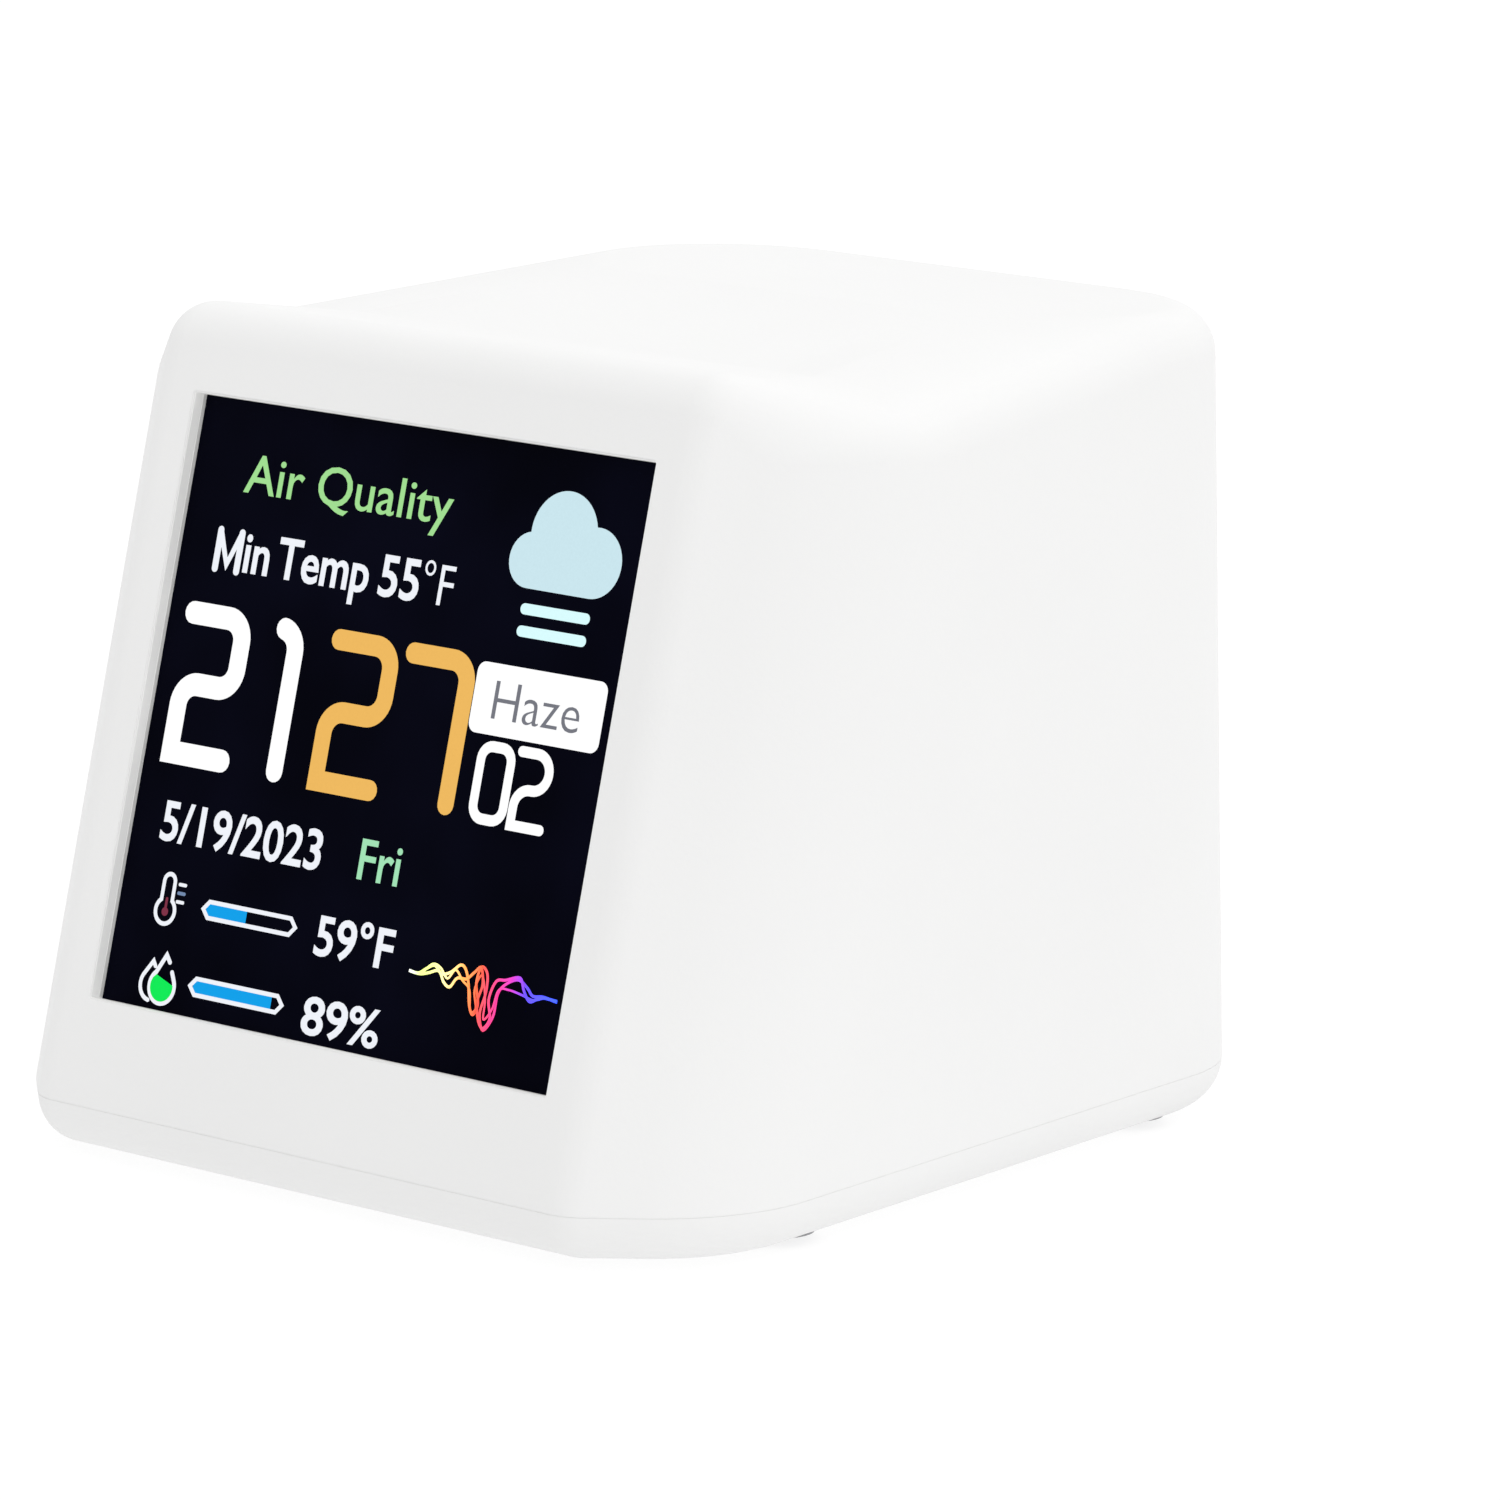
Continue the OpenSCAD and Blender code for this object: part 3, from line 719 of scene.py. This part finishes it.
def make_picture():
    """What the display shows: place, forecast, clock, date, temperature, humidity and a trend line."""
    white = glowing("lit_white", (0.95, 0.95, 0.955))
    soft_white = glowing("lit_soft_white", (0.82, 0.845, 0.90))
    orange = glowing("lit_orange", (0.807, 0.458, 0.11))
    green = glowing("lit_green", (0.336, 0.689, 0.27))
    mint = glowing("lit_mint", (0.34, 0.72, 0.44))
    cyan = glowing("lit_cyan", (0.557, 0.745, 0.806))
    pale = glowing("lit_pale", (0.655, 0.918, 0.935))
    blue = glowing("lit_blue", (0.005, 0.332, 0.776))
    vivid = glowing("lit_vivid_green", (0.005, 0.776, 0.09))
    red = glowing("lit_red", (0.20, 0.03, 0.06))
    grey = glowing("lit_grey", (0.17, 0.175, 0.205))
    steel = glowing("lit_steel", (0.16, 0.24, 0.40))

    write("place_name", "Air Quality", -10.8, 2.1, 11.71, 9.94, green, bold=0.004)
    # the M is drawn by strokes, since the font's own M does not survive being made bold
    legs = [(-11.74, 6.29), (-11.74, 8.07), (-11.06, 6.55), (-10.38, 8.07), (-10.38, 6.29)]
    draw("forecast_m", [stroke(legs[:2], 0.36), stroke(legs[1:4], 0.3), stroke(legs[3:], 0.36)], soft_white)
    write("forecast_in", "in", -10.03, -8.46, 8.2, 6.3, soft_white, bold=0.017)
    write("forecast_temp", "Temp", -7.94, -2.21, 8.2, 6.3, soft_white, bold=0.017)
    write("forecast_value", "55", -1.54, 0.88, 8.2, 6.3, soft_white, bold=0.017)
    write("forecast_unit", "°F", 1.1, 2.95, 8.15, 6.33, soft_white, bold=-0.004, measure="F")

    draw("hour_tens", [two(-13.08, -8.75, 4.65, -2.88, 1.05)], white)
    one = arc(-6.93, 3.09, 1.03, 80, 0, 8) + [(-5.9, -2.36)]
    draw("hour_ones", [stroke(one, 1.0)], white)
    draw("minute_tens", [two(-3.78, 0.51, 4.53, -2.88, 0.95)], orange)
    seven = [(1.29, 4.04)] + arc(3.72, 3.04, 1.0, 90, 0) + [(4.72, -2.38)]
    draw("minute_ones", [stroke(seven, 0.95)], orange)
    nought = [(x + 7.24, v - 1.08) for x, v in rounded_rectangle(0.9, 1.63, 0.62, 6)]
    draw("second_tens", [stroke(nought, 0.49, closed=True)], white)
    draw("second_ones", [two(8.44, 10.7, 0.82, -2.98, 0.49)], white)

    box = [(x + 9.13, v + 2.63) for x, v in rounded_rectangle(3.88, 1.6, 0.46, 6)]
    draw("weather_box", [[box]], white)
    write("weather_word", "Haze", 6.51, 11.66, 3.47, 1.77, grey, level=1, bold=-0.009)

    write("date", "5/19/2023", -12.28, -2.17, -4.56, -6.41, soft_white, bold=0.017, measure="1")
    write("weekday", "Fri", 0.19, 2.69, -4.56, -6.41, mint, bold=0.008)
    write("temperature", "59°F", -1.64, 3.13, -8.32, -10.17, soft_white, bold=0.017, measure="5")
    write("humidity", "89%", -1.64, 3.13, -11.97, -13.76, soft_white, bold=0.017, measure="8")

    # a cloud over two lines of haze
    outline = arc(7.22, 9.0, 1.265, 270, 101, 18) + arc(8.92, 10.35, 1.94, 183, 16, 26) \
        + arc(10.95, 9.31, 1.59, 96, -90, 22)
    draw("cloud", [[outline]], cyan)
    for k, v in enumerate((6.82, 5.82)):
        draw(f"haze_line_{k + 1}", [stroke([(7.37, v), (11.0, v)], 0.5)], pale)

    make_meters(soft_white, blue, vivid, red, steel)
    make_trend()


def meter(name, v, fill, frame_colour, fill_colour):
    """A level bar with pointed ends. fill runs from 0 to 1."""
    left, right, half, point = -8.76, -2.95, 0.37, 0.34
    ring = [(left + point, v - half), (right - point, v - half), (right, v), (right - point, v + half),
            (left + point, v + half), (left, v)]
    draw(name + "_frame", [stroke(ring, 0.2, closed=True)], frame_colour, level=1)
    inner = half - 0.06
    edge = left + point + fill * (right - left - 2 * point)
    level = [(left + point, v - inner), (edge, v - inner), (edge, v + inner), (left + point, v + inner),
             (left + 0.16, v)]
    draw(name + "_level", [[level]], fill_colour)


def make_meters(soft_white, blue, vivid, red, steel):
    """The thermometer and humidity signs with their level bars."""
    meter("temperature_bar", -9.12, 0.46, soft_white, blue)
    meter("humidity_bar", -12.68, 0.93, soft_white, blue)
    cx = -11.13
    ring = arc(cx, -9.56, 0.6, 125, 415, 24) + arc(cx, -8.2, 0.34, 0, 180, 12)
    draw("thermometer", [stroke(ring, 0.2, closed=True)], soft_white)
    draw("thermometer_fluid", [[arc(cx, -9.6, 0.2, 110, 430, 16) + arc(cx, -9.0, 0.07, 0, 180, 6)]], red)
    for k, (v, colour) in enumerate(((-8.25, soft_white), (-8.65, steel), (-9.05, soft_white))):
        draw(f"thermometer_mark_{k + 1}", [stroke([(cx + 0.66, v), (cx + 1.02, v)], 0.16)], colour)
    drop_x, drop_v, r = -10.52, -12.99, 0.78
    sides = arc(drop_x, drop_v, r, 128, 387, 26) + [(drop_x + 0.5, drop_v + 0.72)]
    draw("drop", [stroke([(drop_x + 0.26, drop_v + 1.16), (drop_x, drop_v + 1.46)] + sides, 0.22)], soft_white)
    small = [(drop_x - 0.6, drop_v + 0.86), (drop_x - 0.76, drop_v + 1.08)]
    small += arc(drop_x - 0.62, drop_v, 0.74, 150, 262, 12)
    draw("small_drop", [stroke(small, 0.2)], soft_white)
    wave = [(drop_x + x, drop_v + v)
            for x, v in ((0.7, 0.12), (0.32, 0.1), (-0.06, 0.34), (-0.42, 0.5), (-0.6, 0.34))]
    draw("drop_water", [[arc(drop_x, drop_v, 0.7, 170, 370, 22) + wave]], vivid, level=1)


def make_trend():
    """A coloured trend line: thin strands that twist round each other along a level line."""
    material, tree, shader = node_material("lit_trend")
    place = tree.nodes.new("ShaderNodeTexCoord")
    split = tree.nodes.new("ShaderNodeSeparateXYZ")
    tree.links.new(place.outputs["Object"], split.inputs["Vector"])
    reach = tree.nodes.new("ShaderNodeMapRange")
    reach.inputs["From Min"].default_value = 4.1 * MM
    reach.inputs["From Max"].default_value = 13.1 * MM
    tree.links.new(split.outputs["X"], reach.inputs["Value"])
    colours = ramp(tree, reach.outputs["Result"], [
        (0.0, (0.9, 0.9, 0.95)), (0.10, (0.62, 0.78, 0.18)), (0.26, (0.85, 0.75, 0.30)),
        (0.38, (0.90, 0.30, 0.06)), (0.50, (0.62, 0.06, 0.03)), (0.60, (0.70, 0.03, 0.16)),
        (0.70, (0.45, 0.02, 0.35)), (0.80, (0.08, 0.04, 0.75)), (1.0, (0.03, 0.08, 0.85))])
    tree.links.new(colours.outputs["Color"], shader.inputs["Emission Color"])
    tree.links.new(colours.outputs["Color"], shader.inputs["Base Color"])
    shader.inputs["Emission Strength"].default_value = 1.0
    base, shift = -10.0, 0.15
    knots = [
        [(4.15, 0.05), (4.7, 0.02), (5.15, 0.3), (5.6, 0.5), (6.1, 0.2), (6.6, 0.35), (7.1, 0.75), (7.45, 0.6),
         (7.75, 0.0), (8.0, -0.9), (8.3, -1.3), (8.5, -0.8), (8.2, 0.1), (8.35, 0.85), (8.75, 0.6), (8.85, -0.2),
         (8.7, -1.2), (9.05, -1.88), (9.5, -1.2), (9.55, -0.2), (9.9, 0.3), (10.6, 0.62), (11.2, 0.35),
         (11.6, 0.05), (12.2, 0.1), (13.05, 0.0)],
        [(4.15, 0.05), (4.8, 0.0), (5.3, 0.12), (5.9, 0.3), (6.3, -0.15), (6.7, -0.3), (7.05, 0.15), (7.6, 0.2),
         (8.0, 0.55), (8.35, 0.82), (8.6, 0.1), (8.45, -0.7), (8.7, -1.5), (9.05, -1.8), (9.35, -1.3),
         (9.1, -0.5), (9.35, 0.35), (9.9, 0.5), (10.7, 0.72), (11.05, 0.2), (11.5, -0.22), (12.1, 0.05),
         (13.05, 0.04)],
        [(5.0, 0.1), (5.5, 0.55), (6.0, 0.45), (6.5, 0.05), (6.9, 0.5), (7.4, 0.1), (7.9, -0.25), (8.15, -1.15),
         (8.45, -1.0), (8.2, -0.2), (8.5, 0.5), (8.9, -0.5), (9.0, -1.4), (9.4, -0.9), (9.6, 0.0), (10.2, 0.1),
         (11.0, 0.0), (11.7, -0.12), (12.4, 0.08), (13.05, 0.02)],
    ]
    for k, knot in enumerate(knots):
        path = smooth_path([(x + shift, base + v) for x, v in knot], 6)
        draw(f"trend_strand_{k + 1}", ribbon(path, 0.13 if k < 2 else 0.1), material, level=k)


def smooth_path(points, steps):
    """A Catmull-Rom curve through points."""
    path = []
    for i in range(len(points) - 1):
        p0, p1 = Vector(points[max(i - 1, 0)]), Vector(points[i])
        p2, p3 = Vector(points[i + 1]), Vector(points[min(i + 2, len(points) - 1)])
        for k in range(steps):
            t = k / steps
            path.append(0.5 * (2 * p1 + (p2 - p0) * t + (2 * p0 - 5 * p1 + 4 * p2 - p3) * t * t
                               + (3 * p1 - p0 - 3 * p2 + p3) * t ** 3))
    path.append(Vector(points[-1]))
    return path


def ribbon(path, width):
    """A pen stroke as short links, for a path that crosses itself."""
    steps = side_steps(path, False)
    half = width / 2
    return [[[path[i] + steps[i] * half, path[i + 1] + steps[i + 1] * half,
              path[i + 1] - steps[i + 1] * half, path[i] - steps[i] * half]]
            for i in range(len(path) - 1)]


# ---------------------------------------------------------------- looks of the CAD nodes
def board_laminate(name, mask, track):
    """Solder mask over copper: tracks that show as fine raised lines."""
    material, tree, shader = node_material(name)
    place = tree.nodes.new("ShaderNodeTexCoord")
    cells = tree.nodes.new("ShaderNodeTexVoronoi")
    cells.feature = "DISTANCE_TO_EDGE"
    cells.distance = "MANHATTAN"
    cells.inputs["Scale"].default_value = 620
    tree.links.new(place.outputs["Object"], cells.inputs["Vector"])
    lines = ramp(tree, cells.outputs["Distance"], [(0.05, track), (0.11, mask)])
    tree.links.new(lines.outputs["Color"], shader.inputs["Base Color"])
    shader.inputs["Roughness"].default_value = 0.35
    shader.inputs["Coat Weight"].default_value = 0.3
    add_bump(tree, shader, lines.outputs["Color"], -0.02 * MM)
    return material


def brushed(name, colour, rough):
    """Drawn or plated metal with fine directional marks."""
    material, tree, shader = node_material(name)
    place = tree.nodes.new("ShaderNodeTexCoord")
    scale = tree.nodes.new("ShaderNodeMapping")
    scale.inputs["Scale"].default_value = (1, 14, 1)
    tree.links.new(place.outputs["Object"], scale.inputs["Vector"])
    noise = tree.nodes.new("ShaderNodeTexNoise")
    noise.inputs["Scale"].default_value = 900
    noise.inputs["Detail"].default_value = 4
    tree.links.new(scale.outputs["Vector"], noise.inputs["Vector"])
    tint = ramp(tree, noise.outputs["Fac"], [(0.3, tuple(c * 0.86 for c in colour)), (0.7, colour)])
    tree.links.new(tint.outputs["Color"], shader.inputs["Base Color"])
    tree.links.new(value_range(tree, noise.outputs["Fac"], rough * 0.8, rough * 1.25), shader.inputs["Roughness"])
    shader.inputs["Metallic"].default_value = 1.0
    add_bump(tree, shader, noise.outputs["Fac"], 0.002 * MM)
    return material


def finish_nodes():
    """Gives every CAD node that stays visible its own material."""
    glass = surface("display_glass", (0.0016, 0.0017, 0.0058), 0.12, vary=0.35, grain=3000, depth=0.0003)
    glass.node_tree.nodes["Principled BSDF"].inputs["Specular IOR Level"].default_value = 0.012
    epoxy = {"grain": 12000, "depth": 0.008, "vary": 0.25}
    looks = {
        "display_glass": glass,
        "display_gasket": surface("gasket_foam", (0.72, 0.72, 0.71), 0.95, grain=9000, depth=0.02, vary=0.06),
        "display_backlight": surface("backlight_frame", (0.75, 0.75, 0.72), 0.45, depth=0.004),
        "display_bracket": surface("bracket_plastic", (0.72, 0.72, 0.70), 0.55, depth=0.012),
        "display_flex": surface("flex_film", (0.55, 0.22, 0.03), 0.3, coat=0.4, depth=0.002, vary=0.12),
        "bracket_screws": brushed("bracket_screw_steel", (0.62, 0.62, 0.64), 0.3),
        "board_screws": brushed("board_screw_steel", (0.62, 0.62, 0.64), 0.3),
        "cover_screws": brushed("cover_screw_steel", (0.50, 0.50, 0.52), 0.32),
        "main_board": board_laminate("main_laminate", (0.004, 0.012, 0.008), (0.012, 0.035, 0.022)),
        "wifi_board": board_laminate("radio_laminate", (0.004, 0.008, 0.022), (0.01, 0.02, 0.05)),
        "wifi_shield_can": brushed("shield_tin", (0.74, 0.74, 0.72), 0.28),
        "usb_socket_shell": brushed("socket_steel", (0.70, 0.70, 0.71), 0.25),
        "usb_socket_core": surface("socket_plastic", (0.012, 0.012, 0.013), 0.5),
        "flex_connector": surface("connector_plastic", (0.78, 0.76, 0.68), 0.5),
        "usb_serial_chip": surface("chip_epoxy", (0.018, 0.018, 0.02), 0.62, **epoxy),
        "voltage_regulator": surface("regulator_epoxy", (0.02, 0.02, 0.021), 0.6, **epoxy),
        "capacitors": surface("capacitor_ceramic", (0.36, 0.24, 0.13), 0.5, vary=0.2),
        "resistors": surface("resistor_ceramic", (0.03, 0.03, 0.035), 0.4, vary=0.3),
        "clock_crystal": brushed("crystal_can", (0.72, 0.70, 0.66), 0.25),
        "air_sensor": brushed("sensor_can", (0.66, 0.66, 0.64), 0.3),
        "switch_body": surface("switch_plastic", (0.03, 0.03, 0.032), 0.55),
        "switch_plunger": surface("plunger_plastic", (0.05, 0.05, 0.052), 0.5),
    }
    for node, material in looks.items():
        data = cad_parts[node].data
        data.materials.clear()
        data.materials.append(material)


# ---------------------------------------------------------------- stage
# The room's light is ROOM_LEVEL, and grows along ROOM_SLOPE.
ROOM_LEVEL, ROOM_SLOPE = 0.745, (0.06, 0.19, 0.575)
KEY_PLACE, KEY_SIZE, KEY_POWER = (0.90, -0.62, 0.50), 0.60, 1.12
FLOOR_HALF, FLOOR_GLOW = 6.0, 0.80


def make_stage():
    """A pale floor, a white room and one soft lamp."""
    scene = bpy.context.scene
    scene.view_settings.view_transform = "Standard"
    world = bpy.data.worlds.new("world")
    scene.world = world
    world.use_nodes = True
    tree = world.node_tree
    way = tree.nodes.new("ShaderNodeTexCoord")
    along = tree.nodes.new("ShaderNodeVectorMath")
    along.operation = "DOT_PRODUCT"
    along.inputs[1].default_value = ROOM_SLOPE
    tree.links.new(way.outputs["Generated"], along.inputs[0])
    level = tree.nodes.new("ShaderNodeMath")
    level.inputs[1].default_value = ROOM_LEVEL
    tree.links.new(along.outputs["Value"], level.inputs[0])
    tree.links.new(level.outputs["Value"], tree.nodes["Background"].inputs["Strength"])
    tree.nodes["Background"].inputs["Color"].default_value = (1, 1, 1, 1)
    corners = [(x * FLOOR_HALF / MM, y * FLOOR_HALF / MM, 0) for x, y in ((-1, -1), (1, -1), (1, 1), (-1, 1))]
    floor = bpy.data.objects.new("floor", mesh_from(corners, [(0, 1, 2, 3)]))
    scene.collection.objects.link(floor)
    lit_table = surface("floor", (0.22, 0.22, 0.22), 0.9, vary=0.004, grain=400, depth=0.0)
    shader = lit_table.node_tree.nodes["Principled BSDF"]
    shader.inputs["Specular IOR Level"].default_value = 0.1
    shader.inputs["Emission Color"].default_value = (1, 1, 1, 1)
    shader.inputs["Emission Strength"].default_value = FLOOR_GLOW
    floor.data.materials.append(lit_table)
    add_lamp("key", KEY_PLACE, KEY_SIZE, KEY_POWER)


def add_lamp(name, place, size, power):
    """A square area lamp that faces the object."""
    data = bpy.data.lights.new(name, "AREA")
    data.size = size
    data.energy = power
    lamp = bpy.data.objects.new(name, data)
    lamp.location = place
    lamp.rotation_euler = (Vector((0, 0, 0.02)) - Vector(place)).to_track_quat("-Z", "Y").to_euler()
    bpy.context.scene.collection.objects.link(lamp)


make_camera()
outer_form = body_form()
inner_form = body_form(WALL, 64, 12)
white_plastic = moulded_white("housing_plastic", (0.823, 0.823, 0.82), 0.012)
cover_plastic = moulded_white("cover_plastic", (0.823, 0.823, 0.82), 0.012)
finish_nodes()
seam = seam_ring()
make_housing(outer_form, inner_form, seam, white_plastic)
make_base(outer_form, inner_form, seam, cover_plastic)
make_button(moulded_white("button_plastic", (0.80, 0.80, 0.79), 0.008))
make_feet(surface("foot_rubber", (0.80, 0.80, 0.79), 0.7, grain=9000, depth=0.02, vary=0.05))
make_window_lip(surface("window_lip", (0.78, 0.78, 0.77), 0.8, grain=9000, depth=0.004, vary=0.03))
make_contacts(brushed("contact_gold", (0.85, 0.62, 0.28), 0.25))
make_picture()
make_stage()
